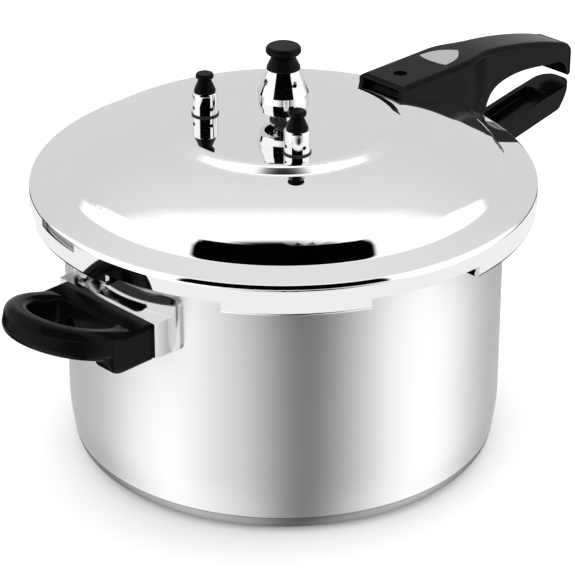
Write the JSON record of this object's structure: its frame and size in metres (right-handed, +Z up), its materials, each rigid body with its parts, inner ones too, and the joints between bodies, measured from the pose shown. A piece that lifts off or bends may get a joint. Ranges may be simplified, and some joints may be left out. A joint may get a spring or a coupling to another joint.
{
  "type": "pressure canner",
  "caption": "Stovetop pressure canner: deep pot with bayonet lid, weighted vent regulator, two relief valves, long split handle and looped helper handle.",
  "frame": {"origin": "middle of the underside of the pot's base", "axes": "+Z up, +X along the long handles, so the helper handle points along -X"},
  "size_m": [0.429, 0.2808, 0.235],
  "materials": {
    "pot_aluminium": "satin",
    "rack_aluminium": "satin",
    "lid_polished": "mirror polished aluminium",
    "handle_phenolic": "glossy black phenolic",
    "knob_phenolic": "glossy black phenolic",
    "bracket_steel": "polished steel",
    "rivet_aluminium": "plain",
    "screw_steel": "zinc plated",
    "badge_metal": "satin light grey",
    "silicone": "translucent grey silicone",
    "washer_rubber": "matte black",
    "spring_steel": "drawn wire",
    "fitting_metal": "nickel plated brass",
    "screen_steel": "pressed sheet",
    "valve_chrome": "polished chrome"
  },
  "bodies": {
    "pot": {"pot_body": "pot_aluminium", "helper_bracket": "bracket_steel", "helper_bracket_rivets": "rivet_aluminium", "helper_handle": "handle_phenolic", "helper_handle_screws": "screw_steel", "pot_handle_bracket": "bracket_steel", "pot_handle_rivets": "rivet_aluminium", "pot_handle": "handle_phenolic", "pot_handle_screw": "screw_steel"},
    "rack": {"canning_rack": "rack_aluminium"},
    "lid": {"lid_shell": "lid_polished", "sealing_ring": "silicone", "lid_handle": "handle_phenolic", "lid_handle_strap": "bracket_steel", "lid_handle_rivets": "rivet_aluminium", "lid_handle_screw_front": "screw_steel", "lid_handle_screw_rear": "screw_steel", "handle_badge": "badge_metal", "vent_pipe": "fitting_metal", "vent_pipe_washer": "washer_rubber", "vent_pipe_nut": "fitting_metal", "vent_screen": "screen_steel", "relief_housing_left": "valve_chrome", "relief_washer_left": "washer_rubber", "relief_nut_left": "fitting_metal", "relief_spring_left": "spring_steel", "relief_housing_right": "valve_chrome", "relief_washer_right": "washer_rubber", "relief_nut_right": "fitting_metal", "relief_spring_right": "spring_steel"},
    "regulator": {"regulator_base": "valve_chrome", "regulator_bell": "valve_chrome", "regulator_core": "fitting_metal", "regulator_knob": "knob_phenolic"},
    "relief_left": {"relief_plunger_left": "fitting_metal", "relief_knob_left": "knob_phenolic"},
    "relief_right": {"relief_plunger_right": "fitting_metal", "relief_knob_right": "knob_phenolic"}
  },
  "joints": [
    {"name": "lid_turn", "type": "hinge", "parent": "pot", "child": "lid", "pos_m": [0, 0, 0.15], "axis": [0, 0, 1], "range_deg": [0, 30]},
    {"name": "rack_lift", "type": "slide", "parent": "pot", "child": "rack", "axis": [0, 0, 1], "range_m": [0, 0.12]},
    {"name": "regulator_lift", "type": "slide", "parent": "lid", "child": "regulator", "axis": [0, 0, 1], "range_m": [0, 0.04]},
    {"name": "relief_left_lift", "type": "slide", "parent": "lid", "child": "relief_left", "axis": [0, 0, 1], "range_m": [0, 0.0025], "stiffness_N_per_m": 500, "springref_m": -0.004, "deforming": ["relief_spring_left"]},
    {"name": "relief_right_lift", "type": "slide", "parent": "lid", "child": "relief_right", "axis": [0, 0, 1], "range_m": [0, 0.0025], "stiffness_N_per_m": 500, "springref_m": -0.004, "deforming": ["relief_spring_right"]}
  ]
}
